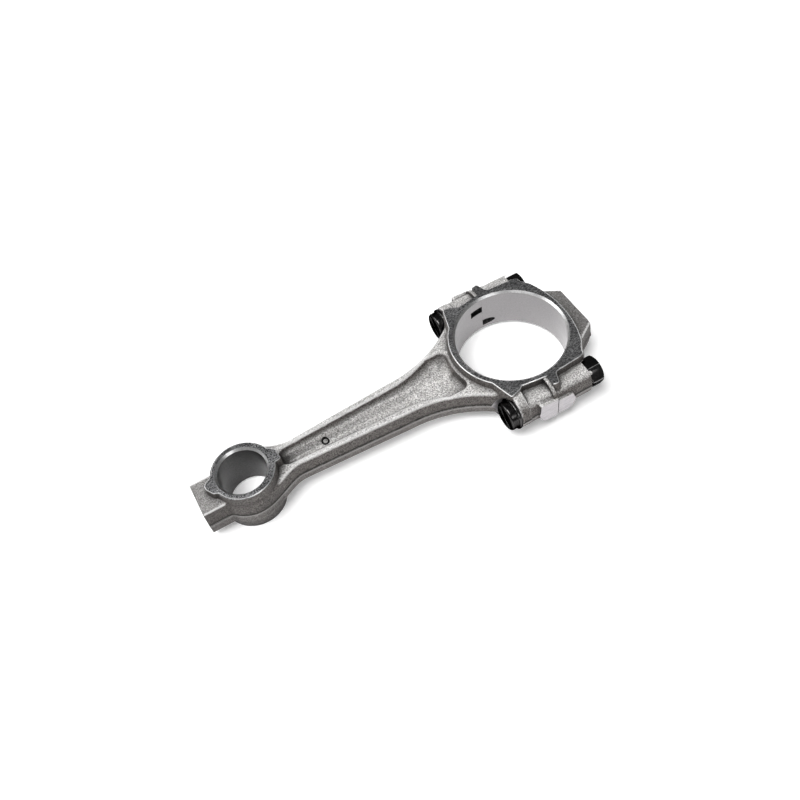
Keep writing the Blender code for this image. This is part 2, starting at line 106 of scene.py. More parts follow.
# %% Joining and meeting with round fillets
def join(a, b, radius):
    """Union with a fillet: max(min(a, b), r) - hypot(max(r - a, 0), max(r - b, 0))."""
    reach = np.hypot(np.maximum(radius - a, 0), np.maximum(radius - b, 0))
    return np.maximum(np.minimum(a, b), radius) - reach


def meet(a, b, radius):
    """Overlap with a rounded edge: min(max(a, b), -r) + hypot(max(a + r, 0), max(b + r, 0))."""
    reach = np.hypot(np.maximum(a + radius, 0), np.maximum(b + radius, 0))
    return np.minimum(np.maximum(a, b), -radius) + reach


def outline_distance(x, y, outline):
    """Distance to a closed outline's nearest edge, less than zero where an odd number of edges
    lies to the right. The loop runs over the few edges, and each step is a whole array."""
    nearest = np.full(np.broadcast(x, y).shape, np.inf)
    inside = np.zeros(nearest.shape, bool)
    for (ax, ay), (bx, by) in zip(outline, np.roll(outline, -1, axis=0)):
        ex, ey = bx - ax, by - ay
        along = np.clip(((x - ax) * ex + (y - ay) * ey) / (ex * ex + ey * ey), 0, 1)
        nearest = np.minimum(nearest, np.hypot(x - ax - along * ex, y - ay - along * ey))
        crosses = (ay > y) != (by > y)
        inside ^= crosses & (x < ax + (y - ay) * ex / (ey or 1.0))
    return np.where(inside, -nearest, nearest)


def leaning(distance, z, level, draft=DRAFT):
    """A drafted wall: the plan distance plus draft times the height above its level."""
    return (distance + draft * (z - level)) / math.hypot(1, draft)


# %% [markdown]
# ## Outlines
#
# The ground faces have crisp outlines: the ring round the crank bore, with a lobe to each
# bolt on the rod, and on the cap a lug beside each bolt, a corner and a flat crown. Straight
# runs are given by their corners and round ones by an arc, for one side, then mirrored.

# %% Face outlines
RING_RADIUS = 33.2
CROWN_RADIUS = 60.0
CROWN_X = 32.73


def arc(centre_x, centre_y, radius, start, end, count):
    """Points on a circle from one angle in degrees to another."""
    angle = np.radians(np.linspace(start, end, count))
    return np.column_stack([centre_x + radius * np.cos(angle), centre_y + radius * np.sin(angle)])


def mirrored(half):
    """A half outline with y above zero, then the same points back along the other side."""
    half = np.asarray(half, float)
    return np.vstack([half, (half * (1, -1))[::-1]])


rod_lobe = [(-22.4, 31.6), (-21.6, 34.0), (-20.6, 34.3), (-15.4, 32.7), (-13.6, 31.4), (-12.6, 31.5),
            (0.9, 33.3)]
ROD_FACE = mirrored(np.vstack([arc(0, 0, RING_RADIUS, 180, 139, 22), rod_lobe])[1:])
crown_end = math.degrees(math.asin(24.3 / CROWN_RADIUS))
cap_lug = [(-0.9, 39.0), (0.4, 39.4), (2.6, 39.8), (3.5, 39.2), (5.2, 34.2), (6.2, 33.4), (8.0, 33.1)]
cap_wall = [(21.0, 32.2), (23.0, 31.6), (23.9, 30.6), (24.4, 28.8), (25.6, 26.9)]
crown = arc(CROWN_X - CROWN_RADIUS, 0, CROWN_RADIUS, crown_end, 0, 14)
CAP_FACE = mirrored(np.vstack([cap_lug, cap_wall, crown])[:-1])
small_centre, small_radius = PIN_X + 0.7, 16.15
right_tab = [(-139.3, -4.2), (-136.7, -3.9), (-136.1, -3.2), (-136.3, 2.0), (-137.0, 3.0), (-139.9, 5.4)]
left_tab = [(-171.2, 4.9), (-174.3, 3.0), (-175.2, 1.6), (-175.0, -0.6), (-174.2, -2.0), (-172.9, -4.3),
            (-171.4, -5.0)]
SMALL_FACE_OUTLINE = np.vstack([right_tab, arc(small_centre, 0, small_radius, 22, 160, 50), left_tab,
                                arc(small_centre, 0, small_radius, 201, 342, 50)])
print("face outlines", len(ROD_FACE), len(CAP_FACE), "points")

# %% [markdown]
# ## The rod's skin
#
# The beam is an I-section: two rails over a thin web, widening towards the crank end in an
# arc. Its pocket is a scoop with a narrow nose and a wide end that follows the ring. Round it
# stand the small end's drum with two tabs, the tail pad, and at the big end the ring, the
# bolt bosses, the collars under the bolt heads and the side pads.

# %% The beam's widths
BEAM_FLARE = 68
POCKET_FLARE = 58


def beam_half_width(x):
    """Straight taper 8.7 to 12.3, then an arc, R - sqrt(R^2 - t^2), that flares to the ring."""
    taper = 8.7 + 3.6 * np.clip((x + 133.8) / 64.8, -0.2, 1)
    into_arc = np.clip(x + 69, 0, 46)
    return taper + BEAM_FLARE - np.sqrt(BEAM_FLARE ** 2 - into_arc ** 2)


def pocket_half_width(x):
    """The pocket's mouth: a straight taper, then an arc along the flare, 13.8 at most."""
    taper = 5.3 + 2.0 * np.clip((x + 130) / 58, -0.5, 1)
    into_arc = np.clip(x + 72, 0, 36)
    return np.minimum(taper + POCKET_FLARE - np.sqrt(POCKET_FLARE ** 2 - into_arc ** 2), 13.8)


PAD_OUTLINE_ROD = np.array([(-10.4, 6.5), (2, 5.4), (2, -6.6), (-1.4, -7.7), (-6.2, -7.5), (-9.2, -6.4),
                            (-10.9, -3)])
PAD_OUTLINE_CAP = np.array([(-2, 4.2), (7.3, 4.0), (9.2, 3.4), (10.5, -3), (9, -6.2), (6.5, -7.6),
                            (1.5, -7.2), (-2, -6)])


def bolt_boss(y, z):
    """The pad of steel round a bolt: a flat top, a drafted outer wall and a wide round edge."""
    outer = leaning(y - BOSS_WALL, z, 0)
    return meet(meet(outer, z - BOSS_TOP, 4.8), 28 - y, 0.1)


def side_pad(plan, y):
    """The pad that is milled beside the joint, from its root in the boss to its blank."""
    return np.maximum(meet(leaning(plan, y, FLAT_Y, PAD_DRAFT), y - PAD_BLANK, 0.2), PAD_ROOT - y)


def flash(z):
    """The flash line's ridge, highest at mid height: 0.35 exp(-(z / 0.85)^2), and a die that
    sat 0.25 off, so that the lower half stands a little proud and fades out at z = -5."""
    lower = 0.25 / (1 + np.exp(np.clip(z / 0.25, -30, 30))) * np.clip(1 + z / 5, 0, 1)
    return 0.35 * np.exp(-(z / 0.85) ** 2) + lower


def rod_forging(x, signed_y, signed_z):
    """Distance to the rod's forged skin, from its parts joined with fillets."""
    y, z = np.abs(signed_y), np.abs(signed_z)
    drum_plan = np.hypot(x - PIN_X - 0.3, y) - DRUM_RADIUS
    slope = np.gradient(beam_half_width(x), axis=0) / np.gradient(x, axis=0)
    beam_plan = (y - beam_half_width(x)) / np.hypot(1, slope)
    beam_plan = join(np.maximum(beam_plan, -150 - x), drum_plan, 12)
    beam = meet(meet(leaning(beam_plan, z, 0, 0.115), z - BEAM_TOP, 1.7), x + 17, 0.5)

    mouth = meet(y - pocket_half_width(x), 35.1 - np.hypot(x, y), 5.5)
    mouth = meet(mouth, -137.2 - x, 5.2)
    fading = np.clip((-52 - x) / 12, 0, 1)
    crest = 0.3 * fading * np.exp(-((signed_y - 0.5 * pocket_half_width(x)) / 0.9) ** 2)
    floor_depth = WEB_HALF + crest - z
    scoop = meet(leaning(mouth, BEAM_TOP - z, 0, 0.32), floor_depth, 5.3)
    steep = meet(leaning(mouth, BEAM_TOP - z, 0, 0.1), floor_depth, 3.0)
    left_share = 1 / (1 + np.exp(-signed_y / 0.7))
    pocket = left_share * scoop + (1 - left_share) * steep
    beam = meet(beam, -pocket, 1.1)

    drum = meet(leaning(drum_plan, z, 0, SMALL_DRAFT), z - SMALL_BLANK, 0.2)
    tab_plan = outline_distance(x, signed_y, SMALL_FACE_OUTLINE)
    tabs = meet(leaning(tab_plan, z, SMALL_FACE, 0.07), z - SMALL_BLANK, 0.2)
    tail_plan = np.maximum(y - 11.1, x - PIN_X)
    tail = meet(meet(leaning(tail_plan, z, 0, 0.125), z - TAIL_TOP, 0.7), TAIL_X - 2 - x, 0.3)

    face_plan = outline_distance(x, y, ROD_FACE)
    ring = meet(leaning(face_plan, z, BIG_FACE), z - BIG_BLANK, 0.2)
    boss = meet(bolt_boss(y, z), -16.5 - x, 0.2)
    oval = (np.hypot((y - 32.0) / 11.9, z / 12.0) - 1) * 11.9
    collar = meet(oval, np.abs(x + 18.4) - 2.9, 0.8)
    pad = side_pad(outline_distance(x, signed_z, PAD_OUTLINE_ROD), y)

    body = join(join(beam, drum, 1.6), tail, 1.3)
    body = join(body, tabs, 0.6)
    body = join(body, ring, 1.3)
    body = join(join(body, collar, 0.8), boss, 0.6)
    body = join(body, pad, 0.5)
    return np.maximum(body - flash(signed_z), x - 2)


# %% [markdown]
# ## Wrapping the field
#
# To turn the field into faces, a fine grid of points is laid through it. Every small cell that
# the surface passes through gets one point, the middle of where its edges cross zero, and
# every grid edge that crosses zero gets one quad between its four cells. That is the method
# called surface nets, and numpy does each step for the whole grid.

# %% Surface nets
STEP = 0.56


def wrap(field):
    """Surface nets: points in grid units and quads, facing from solid to air."""
    solid = field < 0
    inner = tuple(n - 1 for n in field.shape)

    def corner(array, shift):
        """The same corner of every cell."""
        return array[tuple(slice(s, s + n) for s, n in zip(shift, inner))]

    shifts = [(i, j, k) for i in (0, 1) for j in (0, 1) for k in (0, 1)]
    filled = sum(corner(solid, shift).astype(np.int8) for shift in shifts)
    crossed = (filled > 0) & (filled < 8)
    cells = np.argwhere(crossed)
    number = np.full(inner, -1)
    number[crossed] = np.arange(len(cells))
    total, hits = np.zeros((len(cells), 3)), np.zeros(len(cells))
    for axis in range(3):
        unit = np.eye(3, dtype=int)[axis]
        for shift in [np.array(s) for s in shifts if s[axis] == 0]:
            a = field[tuple((cells + shift).T)]
            b = field[tuple((cells + shift + unit).T)]
            cut = (a < 0) != (b < 0)
            share = np.where(cut, a / np.where(cut, a - b, 1), 0)
            total += cut[:, None] * (cells + shift + share[:, None] * unit)
            hits += cut
    quads = []
    for axis in range(3):
        near, far = [slice(None)] * 3, [slice(None)] * 3
        near[axis], far[axis] = slice(0, -1), slice(1, None)
        start = solid[tuple(near)]
        edges = np.argwhere(start != solid[tuple(far)])
        u, v = np.eye(3, dtype=int)[(axis + 1) % 3], np.eye(3, dtype=int)[(axis + 2) % 3]
        ring = [number[tuple((edges + turn).T)] for turn in (-u - v, -v, 0 * u, -u)]
        quad = np.column_stack(ring)
        outward = start[tuple(edges.T)]
        quads.append(np.where(outward[:, None], quad, quad[:, ::-1]))
    return total / hits[:, None], np.vstack(quads)


def bending(field, points, reach=2):
    """How the skin bends at each point: the sum over the axes of f(+r) + f(-r) - 2 f(0), over
    r^2, which is 2 / R on a ball, more on a sharp edge and less than zero in a hollow."""
    at = np.clip(np.rint(points).astype(int), reach, np.array(field.shape) - 1 - reach)
    steps = np.eye(3, dtype=int) * reach
    around = sum(field[tuple((at + s).T)] + field[tuple((at - s).T)] for s in steps)
    return (around - 6 * field[tuple(at.T)]) / (reach * STEP) ** 2


def forge(name, field_of, low, high, material):
    """The skin of a field inside a box, with its bending kept as an attribute for wear, painted highlights
    and painted shade.
    """
    axes = [np.arange(a, b + STEP, STEP) for a, b in zip(low, high)]
    field = np.ascontiguousarray(field_of(*np.meshgrid(*axes, indexing="ij", sparse=True)))
    points, quads = wrap(field)
    piece = make_piece(name, np.array([a[0] for a in axes]) + STEP * points, quads, material)
    bend = piece.data.attributes.new("bend", "FLOAT", "POINT")
    bend.data.foreach_set("value", bending(field, points).astype(np.float32))
    print(name, len(quads), "faces, bending", bending(field, points).min(), bending(field, points).max())
    return piece


# %% [markdown]
# ## From arrays to Blender
#
# A mesh only needs its points and its faces. Points are moved from the crank centre into the
# frame and scaled to metres in one go, so every finished object sits at the origin, unturned,
# as the frame asks.

# %% Making a mesh object
def make_piece(name, points, faces, material):
    """A mesh object in the scene from points in millimetres and faces."""
    mesh = bpy.data.meshes.new(name)
    mesh.from_pydata((np.asarray(points) + CRANK) * MM, [], [tuple(face) for face in faces])
    mesh.materials.append(material)
    mesh.validate()
    piece = bpy.data.objects.new(name, mesh)
    bpy.context.scene.collection.objects.link(piece)
    return piece


def grid_faces(rows, columns, wrap_rows=False):
    """Quads between neighbouring points of a grid that closes on itself in its columns."""
    row = np.arange(rows if wrap_rows else rows - 1)[:, None]
    column = np.arange(columns)[None, :]
    after, beside = (row + 1) % rows, (column + 1) % columns
    quads = [row * columns + column, row * columns + beside,
             after * columns + beside, after * columns + column]
    return np.stack(np.broadcast_arrays(*quads), axis=-1).reshape(-1, 4)


def stack(rings):
    """Closed solid through outlines of equal count, first to last, with flat ends."""
    rings = np.asarray(rings)
    rows, columns = rings.shape[:2]
    sides = grid_faces(rows, columns).tolist()
    first = list(range(columns))[::-1]
    last = list(range((rows - 1) * columns, rows * columns))
    return rings.reshape(-1, 3), sides + [first, last]


def combine(target, tool, operation):
    """Join or cut with the manifold solver, keep the tool's finish on its cut, drop the tool."""
    modifier = target.modifiers.new("cut", "BOOLEAN")
    modifier.operation, modifier.object = operation, tool
    modifier.solver, modifier.material_mode = "MANIFOLD", "TRANSFER"
    depsgraph = bpy.context.evaluated_depsgraph_get()
    result = bpy.data.meshes.new_from_object(target.evaluated_get(depsgraph), depsgraph=depsgraph)
    target.modifiers.clear()
    target.data = result
    bpy.data.objects.remove(tool)


def cut(target, name, solid, material):
    """Take a solid away and give the cut face the material."""
    combine(target, make_piece(name, *solid, material), "DIFFERENCE")


def add(target, name, solid, material):
    """Weld a solid on."""
    combine(target, make_piece(name, *solid, material), "UNION")


# %% Simple tools
def full_turn(count):
    """Angles once round a circle, without the last, which is the first again."""
    return np.linspace(0, 2 * math.pi, count, endpoint=False)


def box(x0, x1, y0, y1, z0, z1):
    """A block between two corners."""
    foot = np.array([(x0, y0), (x1, y0), (x1, y1), (x0, y1)])
    return stack([np.column_stack([foot, np.full(4, z)]) for z in (z0, z1)])


def oval_tool(x, y, z, half_axes):
    """An oval ball: rings of radius cos(t) at height sin(t), stretched by its half axes."""
    rise = np.radians(np.linspace(-88, 88, 17))
    turn = full_turn(48)
    rings = [np.column_stack([math.cos(t) * np.cos(turn), math.cos(t) * np.sin(turn),
                              np.full(48, math.sin(t))]) for t in rise]
    return stack(np.array(rings) * half_axes + (x, y, z))


def groove(side):
    """A square bar on its corner, to break the milled flats' edges at the joint."""
    section = np.array([(0.26, 0), (0, 0.26), (-0.26, 0), (0, -0.26)]) + (0, side * FLAT_Y)
    return stack([np.column_stack([section, np.full(4, z)]) for z in (-20, 20)])


def upright(x, y, profile, count=144):
    """A round tool on a vertical axis: each (radius, z) of the profile becomes a ring."""
    turn = full_turn(count)
    return stack([np.column_stack([x + r * np.cos(turn), y + r * np.sin(turn), np.full(count, z)])
                  for r, z in profile])


def rings_along_x(y, turn, profile):
    """Rings round an axis along x: each (radius, x) gives x, y + r cos(turn), r sin(turn). The
    radius is one number or one for each angle."""
    return [np.column_stack([np.full(len(turn), x), y + r * np.cos(turn), r * np.sin(turn)])
            for r, x in profile]


def along_x(y, profile, count=96):
    """A round tool on an axis along x, from the rings of its profile."""
    return stack(rings_along_x(y, full_turn(count), profile))


def land(outline, level, drop):
    """A ground face's plate: its top is the outline drawn in by the edge, and the edge slopes
    down to the drafted wall. A point moves in along the mean of its two edges' normals."""
    ahead = np.roll(outline, -1, axis=0) - outline
    normal = np.column_stack([ahead[:, 1], -ahead[:, 0]]) / np.hypot(*ahead.T)[:, None]
    area = np.sum(outline[:, 0] * np.roll(outline[:, 1], -1) - outline[:, 1] * np.roll(outline[:, 0], -1))
    outward = (normal + np.roll(normal, 1, axis=0)) * np.sign(area)
    outward /= np.hypot(*outward.T)[:, None]
    levels = [(-0.5, level - drop - 1.2), (0.06, level - drop), (-drop * 0.9, level)]
    rings = [np.column_stack([outline + outward * push, np.full(len(outline), height)])
             for push, height in levels]
    if area < 0:
        rings = [ring[::-1] for ring in rings]
    return stack(rings)


def flipped(solid):
    """The same solid mirrored top to bottom, with its faces turned back out."""
    points, faces = solid
    return points * (1, 1, -1), [list(face)[::-1] for face in faces]


# %% [markdown]
# ## Steel finishes
#
# Every pattern reads the object coordinates, turned to millimetres. One effect serves every
# finish, so it is a node group: the grain, a mix of noises that stands for shot blasting or
# tool marks. The forged skin finds its worn edges, painted partly as highlights, with the
# bending that was kept on its mesh, and the black oxide with Pointiness, so each has its own
# nodes for that.

# %% Node helpers
def node(tree, kind, **values):
    """Add a shader node and set its attributes, or its inputs by name or number."""
    made = tree.nodes.new(kind)
    for name, value in values.items():
        if hasattr(made, name):
            setattr(made, name, value)
        else:
            made.inputs[name.replace("_", " ")].default_value = value
    return made


def ramp(tree, source, stops):
    """Map a value through a colour ramp of (place, grey or colour) stops."""
    made = tree.nodes.new("ShaderNodeValToRGB")
    elements = made.color_ramp.elements
    while len(elements) < len(stops):
        elements.new(0.5)
    for element, (place, colour) in zip(elements, stops):
        element.position = place
        element.color = (*colour, 1) if isinstance(colour, tuple) else (colour, colour, colour, 1)
    tree.links.new(source, made.inputs[0])
    return made.outputs[0]


def math_node(tree, operation, a, b=0.0):
    """One arithmetic step between sockets or plain numbers."""
    made = node(tree, "ShaderNodeMath", operation=operation)
    for socket, value in zip(made.inputs, (a, b)):
        if isinstance(value, (int, float)):
            socket.default_value = value
        else:
            tree.links.new(value, socket)
    return made.outputs[0]


def mix_colour(tree, factor, a, b, blend="MIX"):
    """Mix two colours by a factor, each a socket or a plain value."""
    made = node(tree, "ShaderNodeMix", data_type="RGBA", blend_type=blend)
    for socket, value in ((made.inputs[0], factor), (made.inputs[6], a), (made.inputs[7], b)):
        if isinstance(value, (int, float)):
            socket.default_value = value
        elif isinstance(value, tuple):
            socket.default_value = (*value, 1)
        else:
            tree.links.new(value, socket)
    return made.outputs[2]


def new_group(name, inputs, outputs):
    """An empty shader group with named sockets and their default values."""
    group = bpy.data.node_groups.new(name, "ShaderNodeTree")
    for socket, kind, value in inputs:
        made = group.interface.new_socket(socket, in_out="INPUT", socket_type=kind)
        if value is not None:
            made.default_value = value
    for socket, kind in outputs:
        group.interface.new_socket(socket, in_out="OUTPUT", socket_type=kind)
    return group, group.nodes.new("NodeGroupInput"), group.nodes.new("NodeGroupOutput")


# %% The grain group
def make_grain_group():
    """Height = fine noise + 0.7 of a coarse one - 0.45 of the distance to a cell's middle.
    Fleck is the fine noise pushed to dark and light, and Cloud a wide, slow noise."""
    group, start, end = new_group("steel_grain",
                                  [("Place", "NodeSocketVector", None), ("Size", "NodeSocketFloat", 0.6)],
                                  [("Height", "NodeSocketFloat"), ("Fleck", "NodeSocketFloat"),
                                   ("Cloud", "NodeSocketFloat")])
    size = math_node(group, "DIVIDE", 1.0, start.outputs["Size"])
    scaled = node(group, "ShaderNodeVectorMath", operation="SCALE")
    group.links.new(start.outputs["Place"], scaled.inputs[0])
    group.links.new(size, scaled.inputs["Scale"])
    fine = node(group, "ShaderNodeTexNoise", Scale=1.0, Detail=3.0, Roughness=0.65)
    coarse = node(group, "ShaderNodeTexNoise", Scale=0.42, Detail=2.0)
    cells = node(group, "ShaderNodeTexVoronoi", Scale=1.15)
    cloud = node(group, "ShaderNodeTexNoise", Scale=0.09, Detail=3.0, Roughness=0.6)
    for texture in (fine, coarse, cells, cloud):
        group.links.new(scaled.outputs[0], texture.inputs["Vector"])
    lumps = math_node(group, "MULTIPLY", coarse.outputs[0], 0.7)
    pits = math_node(group, "MULTIPLY", cells.outputs["Distance"], -0.45)
    height = math_node(group, "ADD", math_node(group, "ADD", fine.outputs[0], lumps), pits)
    group.links.new(height, end.inputs["Height"])
    group.links.new(ramp(group, fine.outputs[0], [(0.4, 0.0), (0.6, 1.0)]), end.inputs["Fleck"])
    group.links.new(ramp(group, cloud.outputs[0], [(0.32, 0.0), (0.68, 1.0)]), end.inputs["Cloud"])
    return group


GRAIN = make_grain_group()


def place_in_mm(tree, stretch=(1, 1, 1)):
    """Object coordinates in millimetres, stretched along an axis for a brushed look."""
    coordinate = node(tree, "ShaderNodeTexCoord")
    mapping = node(tree, "ShaderNodeMapping", vector_type="POINT")
    mapping.inputs["Scale"].default_value = [1000 * s for s in stretch]
    tree.links.new(coordinate.outputs["Object"], mapping.inputs["Vector"])
    return mapping.outputs[0]


def new_material(name, **values):
    """A material with its Principled shader's plain values set."""
    material = bpy.data.materials.new(name)
    material.use_nodes = True
    shader = material.node_tree.nodes["Principled BSDF"]
    for socket, value in values.items():
        shader.inputs[socket.replace("_", " ")].default_value = value
    return material, material.node_tree, shader


def place_group(tree, group, vector=None, **values):
    """Put a shared group in a material with its own values."""
    made = node(tree, "ShaderNodeGroup", node_tree=group)
    for socket, value in values.items():
        made.inputs[socket].default_value = value
    if vector is not None:
        tree.links.new(vector, made.inputs["Place"])
    return made


def bump(tree, shader, height, strength, distance):
    """Feed a height to the shader's normal, in metres."""
    made = node(tree, "ShaderNodeBump", Strength=strength, Distance=distance)
    tree.links.new(height, made.inputs["Height"])
    tree.links.new(made.outputs[0], shader.inputs["Normal"])


# %% [markdown]
# ### The forged skin
#
# Shot blasting leaves the skin a light, sparkling grey on the faces that look up or down.
# The walls that scraped along the die keep a browner scale, so the mix follows how steeply the
# surface stands; that also paints the tops lighter and the walls darker, as light from above
# would. A light band under the flash is a painted reflection of the floor, and a dark line along
# it a painted shadow at the ridge. Edges rub bright, partly wear and partly a painted highlight,
# and hollows and corners get painted shade, which the bending and Ambient Occlusion tell. The
# two weight pads keep more of the dark scale.

# %% Forged steel
CAP_PAD_SHADE = (30.0, 34.0)
TAIL_SHADE = (PIN_X - 14.0, PIN_X - 18.0)
BAND_LOW, BAND_HEIGHT = 4.0, 8.0
# Painted shade: the near black that the bent hollows are mixed towards.
HOLLOW_PAINTED_SHADE = (0.05, 0.046, 0.043)
# Painted shade: the near black that Ambient Occlusion lays into corners and recesses.
OCCLUSION_PAINTED_SHADE = (0.016, 0.015, 0.014)


def fade_in(tree, distance, length, most):
    """A share that rises from 0 to its most as the distance goes from 0 to the length."""
    made = node(tree, "ShaderNodeMapRange", To_Max=most)
    made.inputs["From Max"].default_value = length
    tree.links.new(distance, made.inputs["Value"])
    return made.outputs[0]


def make_forged():
    """The dark scale or the grey of shot blasting, by the lean of the face, which also paints the
    tops light and the walls dark, then the flash's painted reflection and shadow, clouds, pads,
    painted shade in hollows and rubbed edges with a painted highlight, each mixed over the one
    before."""
    material, tree, shader = new_material("forged_steel", Metallic=0.5)
    place = place_in_mm(tree)
    grain = place_group(tree, GRAIN, place, Size=0.68)
    bend = node(tree, "ShaderNodeAttribute", attribute_name="bend").outputs["Fac"]
    occlusion_for_painted_shade = node(tree, "ShaderNodeAmbientOcclusion", samples=8, Distance=0.009).outputs["AO"]
    facing = node(tree, "ShaderNodeSeparateXYZ")
    tree.links.new(node(tree, "ShaderNodeNewGeometry").outputs["Normal"], facing.inputs[0])
    level = math_node(tree, "ABSOLUTE", facing.outputs["Z"])
    # Partly finish, partly painted light: the grey of shot blasting on faces that look up or down and dark
    # scale on the walls, painted lighter on top and darker on the walls as light from above would make them.
    blasted_and_painted_light = ramp(tree, level, [(0.55, 0.0), (0.92, 1.0)])
    wall = mix_colour(tree, grain.outputs["Fleck"], (0.03, 0.026, 0.024), (0.2, 0.183, 0.173))
    top = mix_colour(tree, grain.outputs["Fleck"], (0.34, 0.332, 0.324), (1.0, 0.985, 0.975))

    where = node(tree, "ShaderNodeSeparateXYZ")
    tree.links.new(place, where.inputs[0])
    height = math_node(tree, "SUBTRACT", where.outputs["Z"], float(CRANK[2]))
    in_band = math_node(tree, "MULTIPLY", math_node(tree, "ADD", height, BAND_LOW), 1 / BAND_HEIGHT)
    # Painted reflection and painted shadow: a light band just under the flash and a dark line along it, set
    # by height alone.
    painted_floor_reflection = ramp(tree, in_band, [(0.1, 0.0), (0.44, 0.75), (0.5, 0.0)])
    line = ramp(tree, in_band, [(0.48, 0.0), (0.53, 1.0), (0.6, 1.0), (0.66, 0.0)])
    wall = mix_colour(tree, painted_floor_reflection, wall, (0.4, 0.388, 0.378))
    wall = mix_colour(tree, line, wall, (0.012, 0.011, 0.01))
    skin = mix_colour(tree, blasted_and_painted_light, wall, top)
    clouds = math_node(tree, "MULTIPLY", grain.outputs["Cloud"], 0.25)
    cloudy = mix_colour(tree, clouds, skin, (0.17, 0.155, 0.145))
    from_crank = math_node(tree, "SUBTRACT", where.outputs["X"], float(CRANK[0]) + CAP_PAD_SHADE[0])
    unblasted = fade_in(tree, from_crank, CAP_PAD_SHADE[1] - CAP_PAD_SHADE[0], 0.74)
    cloudy = mix_colour(tree, unblasted, cloudy, (0.06, 0.055, 0.051))
    from_pin = math_node(tree, "SUBTRACT", float(CRANK[0]) + TAIL_SHADE[0], where.outputs["X"])
    duller = fade_in(tree, from_pin, TAIL_SHADE[0] - TAIL_SHADE[1], 0.5)
    cloudy = mix_colour(tree, duller, cloudy, (0.05, 0.045, 0.042))
    # Painted shade: where the skin bends into a hollow, its colour goes towards near black.
    hollow = ramp(tree, math_node(tree, "MULTIPLY", bend, -1.0), [(0.08, 0.0), (0.4, 0.55)])
    shaded = mix_colour(tree, hollow, cloudy, HOLLOW_PAINTED_SHADE)
    # Painted shade: Ambient Occlusion darkens corners and recesses to near black.
    shaded = mix_colour(tree, ramp(tree, occlusion_for_painted_shade, [(0.45, 0.95), (0.88, 0.0)]), shaded, OCCLUSION_PAINTED_SHADE)
    # Partly wear, partly painted highlight: sharp edges of faces that look up or down turn near white.
    highlight_by_facing = math_node(tree, "MULTIPLY", ramp(tree, level, [(0.2, 0.0), (0.5, 1.0)]), 0.8)
    edge = math_node(tree, "MULTIPLY", ramp(tree, bend, [(0.3, 0.0), (0.8, 0.9)]), highlight_by_facing)
    colour = mix_colour(tree, edge, shaded, (0.9, 0.89, 0.885))
    tree.links.new(colour, shader.inputs["Base Color"])
    rough = ramp(tree, grain.outputs["Height"], [(0.2, 0.6), (0.9, 0.4)])
    tree.links.new(rough, shader.inputs["Roughness"])
    bump(tree, shader, grain.outputs["Height"], 1.0, 0.0006)
    return material


FORGED = make_forged()

# %% [markdown]
# ### Ground, bored and milled steel
#
# Grinding leaves the end faces dark and mottled with fine scratches, and darker still on the
# small end. Honing leaves the crank bore light and even; the pin bore is painted darker as
# shade inside the narrow hole, and the milled side flats are the lightest. They are one
# recipe with different numbers.

# %% Machined finishes
def make_machined(name, dark, light, roughness, size, relief, stretch=(1, 1, 1)):
    """Bare metal whose colour goes from dark to light by the fleck and whose roughness, lowest
    to highest, follows the clouds. The size and the stretch set the tool marks."""
    material, tree, shader = new_material(name, Metallic=1.0)
    place = place_in_mm(tree, stretch)
    grain = place_group(tree, GRAIN, place, Size=size)
    colour = mix_colour(tree, grain.outputs["Fleck"], dark, light)
    tree.links.new(colour, shader.inputs["Base Color"])
    rough = ramp(tree, grain.outputs["Cloud"], [(0.0, roughness[0]), (1.0, roughness[1])])
    tree.links.new(rough, shader.inputs["Roughness"])
    bump(tree, shader, grain.outputs["Height"], relief, 0.0002)
    return material


GROUND = make_machined("ground_steel", (0.13, 0.13, 0.135), (0.72, 0.72, 0.73), (0.22, 0.4), 0.7, 0.35,
                       stretch=(0.5, 1.3, 1))
DARK_GROUND = make_machined("small_end_steel", (0.035, 0.035, 0.038), (0.6, 0.6, 0.61), (0.22, 0.4), 0.7, 0.4)
# Partly rubbed steel, partly painted highlight: the near white finish of the ground faces' bevels.
RUBBED_EDGE_HIGHLIGHT = make_machined("edge_steel", (0.7, 0.7, 0.7), (0.95, 0.95, 0.95), (0.35, 0.5), 0.6, 0.05)
HONED = make_machined("honed_steel", (0.27, 0.262, 0.266), (0.31, 0.3, 0.305), (0.28, 0.34), 0.9, 0.02,
                      stretch=(1, 1, 3))
TURNED = make_machined("turned_steel", (0.6, 0.6, 0.6), (0.75, 0.75, 0.75), (0.3, 0.38), 0.9, 0.02)
# Painted shade: the pin bore's honed steel made near black, as the narrow hole is in shadow.
PIN_BORE_PAINTED_SHADE = make_machined("pin_bore_steel", (0.055, 0.055, 0.055), (0.085, 0.083, 0.083), (0.3, 0.36), 0.9,
                          0.02, stretch=(1, 1, 3))
MILLED = make_machined("milled_steel", (0.42, 0.405, 0.418), (0.55, 0.53, 0.545), (0.5, 0.6), 0.8, 0.08,
                       stretch=(0.3, 1, 3))
# Painted shade: the joint faces and the deburr grooves get a darker steel than the ground faces, for the
# shade between rod and cap.
JOINT_PAINTED_SHADE = make_machined("joint_steel", (0.1, 0.1, 0.1), (0.22, 0.22, 0.22), (0.4, 0.5), 0.8, 0.1,
                      stretch=(1, 3, 1))
# Painted shade: near black for the bearing notches and the die mark's groove, where shadow falls.
RECESS_PAINTED_SHADE = make_machined("notch_steel", (0.015, 0.015, 0.015), (0.05, 0.05, 0.05), (0.6, 0.7), 0.8, 0.1)


# %% [markdown]
# ### Black oxide
#
# The bolts and nuts are blackened in a hot salt bath, which leaves a thin, glossy black skin
# over the steel. It is made as a metal with a nearly black base colour and dim reflections,
# and the corners that a spanner rubs show the steel through it, painted lighter, which is
# also a painted highlight.

